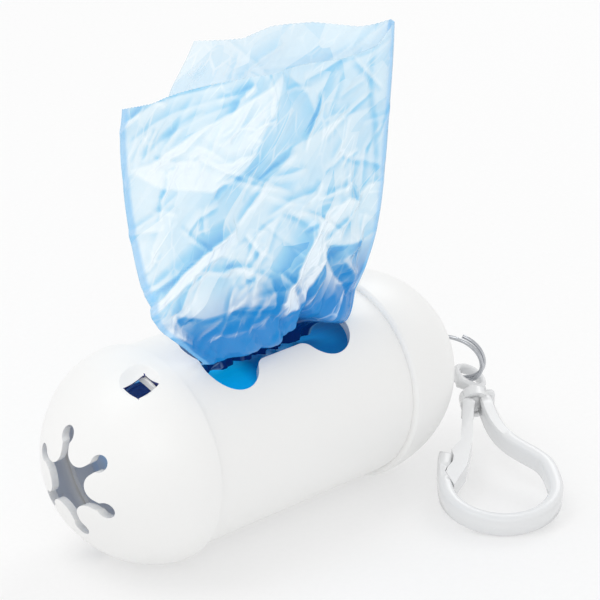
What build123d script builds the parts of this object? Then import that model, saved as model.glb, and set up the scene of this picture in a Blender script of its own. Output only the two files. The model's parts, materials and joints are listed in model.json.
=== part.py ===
"""Dog waste bag dispenser: a capsule of a tube and two domed caps that holds a roll of bags.

The bags are pulled out through a bone shaped slot in the tube.  The front cap has a splash
shaped opening in its dome and pulls off for a refill.  The rear cap carries a moulded eyelet
with a split ring and a plastic swivel clip.

Millimetres.  X runs along the capsule, from the front cap at -X to the eyelet at +X.
Z is up, and z = 0 is the surface that the capsule and the clip lie on.  The origin is on
that surface under the middle of the tube.  Angles called lean are measured at the capsule's
axis from +Z towards -Y, the side from which the slot is seen.
"""
from build123d import *
import os
from math import asin, atan2, cos, degrees, hypot, pi, radians, sin, sqrt

# ---- capsule --------------------------------------------------------------------------
cap_radius = 20.0
cap_step = 1.05
tube_wall = 1.5
cap_wall = 1.5
front_dome_height = 18.4
front_dome_fullness = 0.49
rear_dome_height = 22.4
rear_dome_fullness = 0.594

# ---- roll of bags ---------------------------------------------------------------------
roll_radius = 14.5
roll_length = 52.0
roll_clearance = 0.3
roll_start = 4.53
roll_reach_into_cap = 7.47
core_radius = 6.0
core_wall = 1.0
core_clearance = 0.02
roll_edge = 0.4

# ---- joint between the tube and the front cap: a seat, and a bead behind two lugs -------
front_rim_wall = 1.8
seat_length = 1.6
seat_clearance = 0.06
front_bore_depth = 3.9
neck_wall = 1.1
bead_width = 0.6
bead_height = 0.25
bead_gap = 0.45
lug_width = 1.1
lug_root = 0.45
snap_clearance = 0.05
neck_end_clearance = 0.15

# ---- joint between the tube and the rear cap: pushed on for good ----------------------
rear_rim_wall = 1.2
rear_bore_depth = 5.0
press_clearance = 0.02
rear_rim_round = 0.8

# ---- openings -------------------------------------------------------------------------
opening_lean = 21.0
slot_length = 34.0
slot_middle_x = -1.0
slot_lobe_radius = 5.6
slot_lobe_spread = 2.6
slot_waist = 8.3
slot_waist_round = 2.4
slot_end_round = 1.5
window_gap = 0.1
window_length = 4.4
window_width = 3.9
window_corner = 0.5
scoop_radius = 7.0
scoop_depth = 0.55
scoop_shift = 2.2
scoop_turn = -3.0
splash_arms = 6
splash_turn = 10.0
splash_petal_radius = 2.65
splash_petal_distance = 7.06
splash_tip_radius = 1.5
splash_tip_distance = 8.5
splash_round = 0.5

# ---- the bag that is pulled out ---------------------------------------------------------
bag_width = 69.0
bag_slot_clearance = 3.0
bag_height = 70.0
bag_film = 0.3
bag_left_share = 0.545
bag_offset = -0.7
bag_fold_gap = 0.72
bag_columns = 11
bag_pleat = 1.0
bag_pleat_length = 13.0
# slow swells of the loose film: size, wave length along X and up, and turn in degrees
bag_swells = ((0.9, 39.0, 70.0, 0.0), (0.6, -31.0, 57.0, 115.0))
# folds: from and to, as x and height above the axis, the rise, and the reach up and down
bag_folds = (
    (-30.5, 30.5, -8.7, 40.3, 1.7, 4.0, 9.0),
    (-2.3, 21.6, 11.4, 37.2, 2.2, 5.0, 8.0),
    (-8.7, 40.3, 24.0, 54.1, -0.9, 7.0, 6.0),
    (-34.7, 55.9, -9.3, 51.0, 0.8, 9.0, 5.0),
)
# the cut edge at the top: how it leans down to the left, dips beside the fold, and how the
# rear layer's edge lifts at its free corner
bag_edge_lean = 1.5
bag_edge_dip = 3.3
bag_edge_lift = 2.8

# ---- eyelet and split ring --------------------------------------------------------------
eyelet_distance = 2.6
eyelet_hole_radius = 1.6
eyelet_rim = 1.6
eyelet_thickness = 2.2
eyelet_turn = 50.3
eyelet_round = 0.5
wire_diameter = 0.8
ring_radius = 5.4
ring_pitch = 1.25
ring_swing = 61.5
ring_seat_clearance = 0.12
ring_open_angle = 200.0

# ---- swivel clip --------------------------------------------------------------------------
clip_heading = 231.1
eye_place = -36.0
eye_hole_radius = 2.3
eye_rim = 1.2
eye_thickness = 2.2
eye_turn = 25.5
eye_seat = (0.07, 0.40, 0.31)
eye_to_collar = 7.0
eye_round = 0.45
stem_radius = 1.1
stem_clearance = 0.07
head_radius = 1.9
head_length = 1.6
barrel_radius = 2.9
barrel_front = 1.9
swivel_offset = -0.6
collar_length = 2.0
collar_width = 6.6
collar_thickness = 3.6
collar_bevel = 0.5
hook_thickness = 4.0
hook_bar = 2.5
hook_bevel = 0.45
loop_center = 28.5
loop_half_width = 11.45
gate_bar = 2.1
gate_clearance = 0.12
gate_knuckle = 1.25
gate_knuckle_clearance = 0.06
gate_root_gap = 1.1
gate_root_side = 2.3
# outlines beside the loop: share of the way from the collar to the loop's centre, and share
# of the loop's half width
arm_profile = ((0.0, 0.105), (0.2, 0.135), (0.4945, 0.349), (0.662, 0.672))
nose_profile = ((0.6364, -0.764), (0.8727, -0.873))
gate_profile = (
    (0.509, -0.48),
    (0.6145, -0.672),
    (0.6836, -0.659),
    (0.749, -0.699),
    (0.811, -0.803),
    (0.858, -0.8515),
    (0.8945, -0.83),
    (1.0036, -0.764),
    (0.8836, -0.603),
    (0.807, -0.493),
    (0.658, -0.389),
    (0.527, -0.293),
)

tube_length = roll_length + roll_start - roll_reach_into_cap
half = tube_length / 2
axis_z = cap_radius
tube_radius = cap_radius - cap_step
tube_bore = tube_radius - tube_wall
roll_front_x = roll_start - half
bag_gathered = slot_length - bag_slot_clearance


def along_x(x):
    """A plane across the capsule's axis at x, with Y and Z as its own axes."""
    return Plane(origin=(x, 0, axis_z), x_dir=(0, 1, 0), z_dir=(1, 0, 0))


def around_axis(points):
    """A ring turned about the capsule's axis from (x, radius) points."""
    profile = make_face(Polyline([(x, 0, axis_z + r) for x, r in points], close=True))
    return revolve(profile, Axis((0, 0, axis_z), (1, 0, 0)), 360)


def dome(rim_x, side, radius, height, fullness):
    """A solid dome on the plane x = rim_x whose profile is one cubic curve."""
    tip_x = rim_x + side * height
    full_x = rim_x + side * height * fullness
    curve = Bezier(
        (rim_x, 0, axis_z + radius),
        (full_x, 0, axis_z + radius),
        (tip_x, 0, axis_z + radius * fullness),
        (tip_x, 0, axis_z),
    )
    back = Polyline([(tip_x, 0, axis_z), (rim_x, 0, axis_z), (rim_x, 0, axis_z + radius)])
    return revolve(make_face(curve + back), Axis((0, 0, axis_z), (1, 0, 0)), 360)


def rod(x0, x1, radius):
    """A plain cylinder on the capsule's axis from x0 to x1."""
    return extrude(along_x(min(x0, x1)) * Circle(radius), abs(x1 - x0))


def leaning(shape, lean):
    """Turn a shape about the capsule's axis, from +Z towards -Y."""
    return shape.rotate(Axis((0, 0, axis_z), (1, 0, 0)), lean)


# ---- body tube --------------------------------------------------------------------------
front_bore = cap_radius - front_rim_wall
rear_bore = cap_radius - rear_rim_wall
seat_radius = front_bore - seat_clearance
neck_length = front_bore_depth - neck_end_clearance
lug_start = neck_length - bead_width - lug_width - snap_clearance
bead_radius = front_bore - bead_gap
neck_radius = bead_radius - bead_height
neck_bore = neck_radius - neck_wall
rear_neck_length = rear_bore_depth - neck_end_clearance


def bone_slot():
    """The bone outline, drawn flat with its length along X."""
    lobe_x = slot_length / 2 - slot_lobe_radius
    outline = Rectangle(2 * lobe_x, slot_waist)
    for side_x in (-1, 1):
        for side_y in (-1, 1):
            outline += Pos(side_x * lobe_x, side_y * slot_lobe_spread) * Circle(slot_lobe_radius)
    waist = [v for v in outline.vertices() if abs(v.X) < lobe_x]
    outline = fillet(waist, slot_waist_round)
    ends = [v for v in outline.vertices() if abs(v.Y) < slot_waist / 8]
    return fillet(ends, slot_end_round)


def make_body_tube():
    tip = -half - neck_length
    tube = around_axis([
        (tip, neck_bore),
        (tip, bead_radius - bead_height),
        (tip + bead_height, bead_radius),
        (tip + bead_width, bead_radius),
        (tip + bead_width, neck_radius),
        (-half - seat_length, neck_radius),
        (-half - seat_length, seat_radius),
        (-half, seat_radius),
        (-half, tube_radius),
        (half, tube_radius),
        (half, rear_bore - press_clearance),
        (half + rear_neck_length, rear_bore - press_clearance),
        (half + rear_neck_length, tube_bore),
        (-half + 2 * neck_wall, tube_bore),
        (-half, neck_bore),
    ])
    cutter = extrude(Plane((slot_middle_x, 0, axis_z)) * bone_slot(), 2 * tube_radius)
    return tube - leaning(cutter, opening_lean)


# ---- front cap --------------------------------------------------------------------------
def splash():
    """The six armed splash: a disc bitten by six round petals, with a drop on each arm."""
    step = 360 / splash_arms
    neck = splash_petal_distance * sin(radians(step / 2)) - splash_petal_radius
    neck_y = splash_petal_distance * cos(radians(step / 2))
    outline = Circle(hypot(neck, neck_y))
    for k in range(splash_arms):
        bite = radians(splash_turn + step * (k + 0.5))
        place = Pos(splash_petal_distance * sin(bite), splash_petal_distance * cos(bite))
        outline -= place * Circle(splash_petal_radius)
    start = neck_y - neck / 4
    arm_length = splash_tip_distance - start
    arm = Pos(0, start + arm_length / 2) * Rectangle(2 * neck, arm_length)
    arm += Pos(0, splash_tip_distance) * Circle(splash_tip_radius)
    for k in range(splash_arms):
        outline += Rot(0, 0, -(splash_turn + step * k)) * arm
    corners = [v for v in outline.vertices() if hypot(v.X, v.Y) > neck_y + neck]
    return fillet(corners, splash_round)


window_start = half + neck_length + window_gap


def window_cutter():
    """One window in the front cap, a block standing on the axis."""
    middle = -window_start - window_length / 2
    block = Plane((middle, 0, axis_z)) * RectangleRounded(window_length, window_width, window_corner)
    return extrude(block, 2 * cap_radius)


def scoop_cutter():
    """The shallow thumb scoop beside a window, a ball that just bites the dome."""
    x = -window_start - window_length / 2 - scoop_shift
    outer = dome(-half, -1, cap_radius, front_dome_height, front_dome_fullness)
    section = outer & rod(x, x - front_dome_height, cap_radius)
    local = section.bounding_box().max.Z - axis_z
    return Pos(x, 0, axis_z + local + scoop_radius - scoop_depth) * Sphere(scoop_radius)


def make_front_cap():
    rim = -half
    outer = dome(rim, -1, cap_radius, front_dome_height, front_dome_fullness)
    hollow = dome(rim, -1, cap_radius - cap_wall, front_dome_height - cap_wall, front_dome_fullness)
    hollow = hollow & rod(rim, rim - front_dome_height, front_bore)
    hollow += rod(rim, rim - front_bore_depth, front_bore)
    cap = outer - hollow
    lug_front = rim - lug_start - lug_width
    lug_ring = rod(lug_front, rim - lug_start, front_bore + lug_root)
    lug_ring -= rod(lug_front, rim - lug_start, bead_radius + snap_clearance)
    block = Pos(0, 0, axis_z + front_bore) * Box(4 * half, window_width, front_bore)
    lugs = (lug_ring & leaning(block, opening_lean)) + (lug_ring & leaning(block, opening_lean + 180))
    cap += lugs
    for lean in (opening_lean, opening_lean + 180):
        cap -= leaning(window_cutter(), lean)
    cap -= leaning(scoop_cutter(), opening_lean + scoop_turn)
    deep = rim - front_dome_height / 2
    cutter = extrude(along_x(deep - front_dome_height) * splash(), front_dome_height)
    return cap - cutter


# ---- rear cap -----------------------------------------------------------------------------
def turned(degrees_from_y):
    """The eyelet's hole axis, square to X, and the direction that is square to both."""
    a = radians(degrees_from_y)
    return Vector(0, -cos(a), sin(a)), Vector(0, -sin(a), -cos(a))


hole_axis, hole_down = turned(eyelet_turn)
eyelet_center = Vector(half + rear_dome_height + eyelet_distance, 0, axis_z)


def make_rear_cap():
    outer = dome(half, 1, cap_radius, rear_dome_height, rear_dome_fullness)
    rim = [e for e in outer.edges() if abs(e.center().X - half) < 0.01]
    outer = fillet(rim, rear_rim_round)
    hollow = dome(half, 1, cap_radius - cap_wall, rear_dome_height - cap_wall, rear_dome_fullness)
    hollow += rod(half, half + rear_bore_depth, rear_bore)
    root = half + rear_dome_height - cap_wall
    reach = eyelet_center.X - root
    wide = 2 * (eyelet_hole_radius + eyelet_rim)
    plane = Plane(origin=eyelet_center, x_dir=(1, 0, 0), z_dir=hole_axis)
    lug = plane * (Circle(wide / 2) + Pos(-reach / 2, 0) * Rectangle(reach, wide))
    lug = extrude(lug, eyelet_thickness / 2, both=True)
    edges = [e for e in lug.edges() if e.center().X > root + cap_wall]
    edges = [e for e in edges if abs((e.center() - eyelet_center).dot(hole_axis)) > eyelet_thickness / 3]
    lug = chamfer(edges, eyelet_round)
    cap = outer + lug - hollow
    hole = extrude(plane * Circle(eyelet_hole_radius), eyelet_thickness, both=True)
    return cap - hole


# ---- roll and core ------------------------------------------------------------------------
roll_z = axis_z - (tube_bore - roll_radius - roll_clearance)


def rolled(outer, inner, x0, length):
    place = Plane(origin=(x0, 0, roll_z), x_dir=(0, 1, 0), z_dir=(1, 0, 0))
    return extrude(place * (Circle(outer) - Circle(inner)), length)


def make_bag_roll():
    roll = rolled(roll_radius, core_radius, roll_front_x, roll_length)
    rims = [e for e in roll.edges() if e.geom_type == GeomType.CIRCLE and e.radius > core_radius + 1]
    return chamfer(rims, roll_edge)


def make_roll_core():
    outer = core_radius - core_clearance
    return rolled(outer, outer - core_wall, roll_front_x, roll_length)


# ---- pulled bag: one folded layer of film, a V that opens to the left ---------------------
exit_y = -sin(radians(opening_lean))
exit_z = cos(radians(opening_lean))
slot_y = exit_y * tube_radius
slot_rise = exit_z * tube_radius
bag_start = roll_z - axis_z + roll_radius

# share of the height above the slot, share of the spread from gathered to full width, y from
# the slot's middle, billow over the slot's near side, how far the rear layer stands off at
# the left, and how wide it is against the front one
bag_levels = (
    (0.00, 0.00, 0.0, 0.0, 0.6, 0.94),
    (0.05, 0.14, -1.1, 2.4, 1.0, 0.92),
    (0.11, 0.34, -1.9, 2.6, 1.9, 0.88),
    (0.20, 0.52, -2.7, 1.8, 3.6, 0.83),
    (0.31, 0.66, -3.1, 0.8, 5.2, 0.79),
    (0.43, 0.77, -3.2, 0.1, 7.0, 0.75),
    (0.56, 0.85, -3.0, 0.0, 8.4, 0.71),
    (0.71, 0.93, -2.5, 0.0, 9.8, 0.66),
    (0.87, 0.99, -1.8, 0.0, 11.2, 0.61),
    (1.00, 1.00, -1.3, 0.0, 12.0, 0.57),
)


def swell(x, height):
    """How far the slow swells push the film to +Y."""
    total = 0.0
    for size, length_x, length_z, turn in bag_swells:
        total += size * sin(2 * pi * (x / length_x + height / length_z) + radians(turn))
    return total


def folded(x, height):
    """How far the main folds raise the film to -Y: each is a roof with two slopes."""
    total = 0.0
    for x0, h0, x1, h1, rise, above, below in bag_folds:
        length = hypot(x1 - x0, h1 - h0)
        along = ((x - x0) * (x1 - x0) + (height - h0) * (h1 - h0)) / length
        off = ((height - h0) * (x1 - x0) - (x - x0) * (h1 - h0)) / length
        past = max(-along, along - length, 0.0)
        reach = above if off > 0 else below
        total += rise * max(1 - hypot(off, past) / reach, 0.0)
    return total


def bag_row(share_up, spread, middle_y, billow, stand_off, rear_share):
    """The four lines of points of one level: front outside, front inside, rear inside, outside."""
    height = slot_rise + share_up * (bag_height - slot_rise)
    width = bag_gathered + spread * (bag_width - bag_gathered)
    left = -bag_left_share * width + slot_middle_x * (1 - width / bag_width)
    right = left + width
    loose = min(2 * share_up, 1.0)
    rows = [[], [], [], []]
    for k in range(bag_columns + 1):
        u = k / bag_columns
        gap = bag_fold_gap + stand_off * u if k else bag_film
        for layer, share in ((0, 1.0), (1, rear_share)):
            x = right - (right - left) * u * share
            pleat = bag_pleat * (1 - loose) * sin(2 * pi * x / bag_pleat_length)
            y = slot_y + bag_offset + middle_y + pleat + loose * (swell(x, height) - folded(x, height))
            y += layer * gap - billow * sin(pi * min(u * share + 0.1, 1.0))
            z = axis_z + height
            if share_up == 1.0:
                z -= 9.5 * bag_edge_dip * u * (1 - u) ** 3
                z += layer * bag_edge_lift * u ** 4 - (1 - layer) * bag_edge_lean * u
            rows[2 * layer].append((x, y - bag_film / 2, z))
            rows[2 * layer + 1].append((x, y + bag_film / 2, z))
    rows[0][0] = (right + bag_film, rows[0][0][1], rows[0][0][2])
    rows[3][0] = (right + bag_film, rows[3][0][1], rows[3][0][2])
    return rows


def film_faces(rows_by_level):
    """Flat triangles that close the folded film between all its levels."""
    triangles = []

    def quad(a, b, c, d):
        triangles.append((a, b, c))
        triangles.append((a, c, d))

    for low, high in zip(rows_by_level, rows_by_level[1:]):
        for line, turn in ((0, 1), (1, -1), (2, 1), (3, -1)):
            for k in range(bag_columns):
                skip = line in (1, 2) and k == 0
                if skip:
                    continue
                ring = (low[line][k], low[line][k + 1], high[line][k + 1], high[line][k])
                quad(*(ring if turn > 0 else ring[::-1]))
        end = bag_columns
        quad(low[0][end], low[1][end], high[1][end], high[0][end])
        quad(low[2][end], low[3][end], high[3][end], high[2][end])
        quad(low[3][0], low[0][0], high[0][0], high[3][0])
        quad(low[1][1], low[2][1], high[2][1], high[1][1])
    for rows, turn in ((rows_by_level[0], 1), (rows_by_level[-1], -1)):
        for first in (0, 2):
            for k in range(1, bag_columns):
                near, far = rows[first], rows[first + 1]
                ring = (near[k], far[k], far[k + 1], near[k + 1])
                quad(*(ring if turn > 0 else ring[::-1]))
        fold = (rows[0][0], rows[3][0], rows[3][1], rows[2][1], rows[1][1], rows[0][1])
        for k in range(1, len(fold) - 1):
            corner = (fold[0], fold[k], fold[k + 1])
            triangles.append(corner if turn > 0 else corner[::-1])
    return [Face(Wire.make_polygon([Vector(*p) for p in t], close=True)) for t in triangles]


def make_pulled_bag():
    """The film from just above the roll, through the slot, to the bag's cut edges."""
    foot = bag_row(0.0, 0.0, bag_start * exit_y / exit_z - slot_y, 0.0, 0.6, 0.94)
    seat = roll_radius + roll_clearance
    foot = [[(x, y, roll_z + sqrt(seat ** 2 - y ** 2)) for x, y, z in line] for line in foot]
    levels = [foot] + [bag_row(*level) for level in bag_levels]
    return Solid(Shell(film_faces(levels)))


# ---- split ring -----------------------------------------------------------------------------
ring_out = Vector(cos(radians(ring_swing)), 0, 0) + hole_down * sin(radians(ring_swing))
strand_reach = eyelet_hole_radius - ring_seat_clearance - wire_diameter / 2
wire_in_eyelet = sqrt(strand_reach ** 2 - (ring_pitch / 2) ** 2)
ring_center = eyelet_center + ring_out * (wire_in_eyelet + ring_radius)
ring_normal = hole_axis.cross(ring_out)


def ring_point(angle, layer):
    """A point on the wire's line: angle 0 is furthest from the eyelet."""
    a = radians(angle)
    flat = ring_out * cos(a) + hole_axis * sin(a)
    return ring_center + flat * ring_radius + ring_normal * (layer * ring_pitch / 2)


def ring_heading(angle):
    a = radians(angle)
    return hole_axis * cos(a) - ring_out * sin(a)


def biarc(p0, t0, p1, t1):
    """Two arcs that join p0 to p1 and start and end along t0 and t1."""
    v = p1 - p0
    a = 2 * (t0.dot(t1) - 1)
    b = -2 * v.dot(t0 + t1)
    c = v.dot(v)
    d = (-b - sqrt(b * b - 4 * a * c)) / (2 * a)
    middle = ((p0 + t0 * d) + (p1 - t1 * d)) * 0.5
    first = Edge.make_tangent_arc(p0, t0, middle)
    return [first, Edge.make_tangent_arc(middle, first % 1, p1)]


def ring_stations():
    """Quarter turns: three in the first layer, one that climbs, three in the second."""
    layers = (-1, -1, -1, -1, 1, 1, 1, 1)
    return [(ring_open_angle + 90 * k, layer) for k, layer in enumerate(layers)]


def ring_gap():
    """The least distance between two turns of the wire, measured on points of its line."""
    fine = []
    stations = ring_stations()
    for (a0, l0), (a1, l1) in zip(stations, stations[1:]):
        for k in range(24):
            share = k / 24
            blend = share if l0 == l1 else share * share * (3 - 2 * share)
            fine.append((a0 + (a1 - a0) * share, l0 + (l1 - l0) * blend))
    least = 1e9
    for i, (a0, l0) in enumerate(fine):
        for a1, l1 in fine[i + 1:]:
            if a1 - a0 > 180:
                least = min(least, (ring_point(a0, l0) - ring_point(a1, l1)).length)
    return least - wire_diameter


def make_split_ring():
    edges = []
    stations = ring_stations()
    for (a0, l0), (a1, l1) in zip(stations, stations[1:]):
        if l0 == l1:
            middle = ring_point((a0 + a1) / 2, l0)
            edges.append(Edge.make_three_point_arc(ring_point(a0, l0), middle, ring_point(a1, l1)))
        else:
            edges += biarc(ring_point(a0, l0), ring_heading(a0), ring_point(a1, l1), ring_heading(a1))
    start = Plane(origin=ring_point(*stations[0]), z_dir=ring_heading(stations[0][0]))
    return sweep(start * Circle(wire_diameter / 2), path=Wire(edges), clean=False)


# ---- swivel clip: s runs from the collar to the far end of the loop, t to the side ----------
eye_wire = ring_point(eye_place, 0)
reach_from_eye = eye_to_collar + loop_center + loop_half_width
slant = hypot(reach_from_eye, hook_thickness / 2)
eye_height = eye_wire.Z + eye_seat[2]
clip_dip = degrees(asin(eye_height / slant) - atan2(hook_thickness / 2, reach_from_eye))
heading = radians(clip_heading)
dip = radians(clip_dip)
clip_along = Vector(cos(heading) * cos(dip), sin(heading) * cos(dip), -sin(dip))
clip_side = Vector(-sin(heading), cos(heading), 0)
clip_up = clip_along.cross(clip_side)
eye_center = eye_wire + clip_along * eye_seat[0] + clip_side * eye_seat[1] + clip_up * eye_seat[2]
eye_axis = clip_up * cos(radians(eye_turn)) + clip_side * sin(radians(eye_turn))
collar_center = eye_center + clip_along * eye_to_collar - clip_side * swivel_offset
clip_plane = Plane(origin=collar_center, x_dir=clip_along, z_dir=clip_up)


def across_clip(s, t):
    """A plane across the clip's length at s and t, for what turns on the swivel's axis."""
    origin = collar_center + clip_along * s + clip_side * t
    return Plane(origin=origin, x_dir=clip_side, z_dir=clip_along)


def make_swivel_eye():
    plane = Plane(origin=eye_center, x_dir=clip_along, z_dir=eye_axis)
    rim = eye_hole_radius + eye_rim
    outline = Circle(rim) + Pos(rim / 2, 0) * Rectangle(rim, 2 * rim - 2 * eye_round)
    eye = extrude(plane * outline, eye_thickness / 2, both=True)
    eye -= extrude(plane * Circle(eye_hole_radius), eye_thickness, both=True)
    edges = [e for e in eye.edges() if abs((e.center() - eye_center).dot(eye_axis)) > eye_thickness / 3]
    eye = chamfer(edges, eye_round)
    stem_start = rim - eye_to_collar - eye_round
    head_start = barrel_front - head_length
    stem = extrude(across_clip(stem_start, swivel_offset) * Circle(stem_radius), head_start - stem_start)
    head = extrude(across_clip(head_start, swivel_offset) * Circle(head_radius), head_length)
    front = head.edges().sort_by(lambda e: (e.center() - collar_center).dot(clip_along))[-1]
    return eye + stem + chamfer(front, eye_round)


def beside_loop(profile):
    """Points of a profile that is given in shares of the loop's length and half width."""
    start = collar_length / 2
    return [(start + s * (loop_center - start), t * loop_half_width) for s, t in profile]


def loop_line():
    """The middle line of the hook's bar: far arm, round the loop, to the nose."""
    side = loop_half_width - hook_bar / 2
    arm = Spline(*beside_loop(arm_profile), (loop_center, side), tangents=((1, 0.05), (1, 0)))
    bow = CenterArc((loop_center, 0), side, -90, 180)
    nose = Spline(*beside_loop(nose_profile), (loop_center, -side), tangents=((1, -0.4), (1, 0)))
    return arm, bow, nose


def bar_face(lines, width):
    """A flat bar of even width along lines that join smoothly."""
    face = trace(lines[0], width)
    for line in lines[1:]:
        face += trace(line, width)
    return face


gate_root = (collar_length / 2 + gate_knuckle + gate_root_gap, -gate_root_side)


def gate_outline(grow):
    """The gate's side view with its barb; grow widens it for the pocket that it closes in."""
    x0, y0 = gate_root
    root = [(x0, y0 + gate_bar / 2), (x0, y0 - gate_bar / 2)]
    outer = Polyline(root + beside_loop(gate_profile), close=True)
    face = make_face(outer) + Pos(x0, y0) * Circle(gate_knuckle)
    return offset(face, grow, kind=Kind.ARC) if grow else face


def slab(face, thickness):
    """Extrude a flat outline of the clip to both sides of its middle plane."""
    return extrude(clip_plane * face, thickness / 2, both=True)


def make_clip_hook():
    lines = loop_line()
    bar = slab(bar_face(lines, hook_bar), hook_thickness)
    flat = [e for e in bar.edges() if abs((e.center() - collar_center).dot(clip_up)) > hook_thickness / 3]
    bar = chamfer(flat, hook_bevel)
    collar = slab(Rectangle(collar_length, collar_width), collar_thickness)
    collar = chamfer(collar.edges(), collar_bevel)
    barrel_start = collar_bevel - collar_length / 2
    barrel = across_clip(barrel_start, swivel_offset) * Circle(barrel_radius)
    hook = collar + extrude(barrel, barrel_front - barrel_start) + bar
    stem_hole = across_clip(-collar_length, swivel_offset) * Circle(stem_radius + stem_clearance)
    stem_hole = extrude(stem_hole, 3 * collar_length)
    head_start = barrel_front - head_length - 2 * stem_clearance
    pocket = across_clip(head_start, swivel_offset) * Circle(head_radius + stem_clearance)
    pocket = extrude(pocket, head_length + 3 * stem_clearance)
    gate_pocket = slab(gate_outline(gate_clearance), 2 * hook_thickness)
    knuckle = slab(Pos(*gate_root) * Circle(gate_knuckle + gate_knuckle_clearance), 2 * hook_thickness)
    return hook - stem_hole - pocket - gate_pocket - knuckle


def make_clip_gate():
    return slab(gate_outline(0), hook_thickness - 2 * gate_clearance)


os.makedirs("parts", exist_ok=True)
parts = {
    "body_tube": make_body_tube(),
    "front_cap": make_front_cap(),
    "rear_cap": make_rear_cap(),
    "bag_roll": make_bag_roll(),
    "roll_core": make_roll_core(),
    "pulled_bag": make_pulled_bag(),
    "split_ring": make_split_ring(),
    "swivel_eye": make_swivel_eye(),
    "clip_hook": make_clip_hook(),
    "clip_gate": make_clip_gate(),
}
for node, shape in parts.items():
    export_step(shape, f"parts/{node}.step")
print("least gap between the ring's turns, mm:", round(ring_gap(), 3))
print("clip dip, degrees:", round(clip_dip, 2))
for name, point in (
    ("eyelet centre", eyelet_center),
    ("hole axis", hole_axis),
    ("ring centre", ring_center),
    ("ring normal", ring_normal),
    ("eye centre", eye_center),
    ("eye axis", eye_axis),
    ("collar centre", collar_center),
    ("clip along", clip_along),
    ("clip side", clip_side),
    ("clip up", clip_up),
):
    print(name, [round(c, 4) for c in (point.X, point.Y, point.Z)])
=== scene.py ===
"""Looks of a dog waste bag dispenser: a white capsule, a roll of blue bags and a swivel clip.

Lengths of the pieces are millimetres and are turned into metres where a mesh is made.  Those
in the shaders and of the floor, the lights and the camera are metres.
"""
import json
import math
import random

import bmesh
import bpy
import numpy as np
from mathutils import Matrix, Vector

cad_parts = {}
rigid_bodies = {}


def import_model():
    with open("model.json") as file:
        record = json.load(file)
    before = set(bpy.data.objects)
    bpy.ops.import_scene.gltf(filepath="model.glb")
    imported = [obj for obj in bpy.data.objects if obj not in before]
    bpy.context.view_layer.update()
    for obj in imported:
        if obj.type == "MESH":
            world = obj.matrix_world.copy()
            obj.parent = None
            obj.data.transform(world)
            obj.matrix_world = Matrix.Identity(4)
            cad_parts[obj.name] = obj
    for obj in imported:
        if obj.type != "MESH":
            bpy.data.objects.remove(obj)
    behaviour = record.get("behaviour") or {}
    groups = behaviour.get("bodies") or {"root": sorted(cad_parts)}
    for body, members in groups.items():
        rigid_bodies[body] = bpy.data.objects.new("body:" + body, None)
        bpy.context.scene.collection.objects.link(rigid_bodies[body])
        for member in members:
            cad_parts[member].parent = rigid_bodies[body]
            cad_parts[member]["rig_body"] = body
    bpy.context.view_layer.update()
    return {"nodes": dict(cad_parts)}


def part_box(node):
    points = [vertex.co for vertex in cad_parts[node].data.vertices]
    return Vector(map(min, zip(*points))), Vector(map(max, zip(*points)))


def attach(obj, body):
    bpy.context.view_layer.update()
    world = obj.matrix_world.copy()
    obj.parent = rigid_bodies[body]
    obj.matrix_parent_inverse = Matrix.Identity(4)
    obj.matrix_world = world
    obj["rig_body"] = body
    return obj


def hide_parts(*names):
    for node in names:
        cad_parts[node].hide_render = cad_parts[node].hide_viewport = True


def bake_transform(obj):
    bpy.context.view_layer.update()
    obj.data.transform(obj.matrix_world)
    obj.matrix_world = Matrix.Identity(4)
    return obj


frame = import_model()

# ---- body tube and caps -----------------------------------------------------------------
# Three thin mouldings in white polypropylene with a satin, finely sparked skin.  The rear cap
# is pressed on for good, and the front cap snaps over the tube's stepped neck.  Each keeps the
# exact solid, as one smooth mesh with crisp edges only where the real one has them.

mm = 0.001
axis_height = 20.0
tube_radius = 18.95
rim_x = 24.53
rim_radius = 20.0
shell_wall = 1.5
opening_lean = math.radians(21)
# the window on the slot's side, measured just outside its walls
window_x, window_length, window_width = -30.58, 4.41, 3.91


class Value:
    """A number socket of a material; arithmetic on it adds Math nodes."""

    def __init__(self, finish, socket):
        self.finish = finish
        self.socket = socket

    def maths(self, operation, a, b):
        return self.finish.node("ShaderNodeMath", {0: a, 1: b}, operation=operation)

    def __add__(self, other):
        return self.maths("ADD", self, other)

    __radd__ = __add__

    def __sub__(self, other):
        return self.maths("SUBTRACT", self, other)

    def __rsub__(self, other):
        return self.maths("SUBTRACT", other, self)

    def __mul__(self, other):
        return self.maths("MULTIPLY", self, other)

    __rmul__ = __mul__


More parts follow.
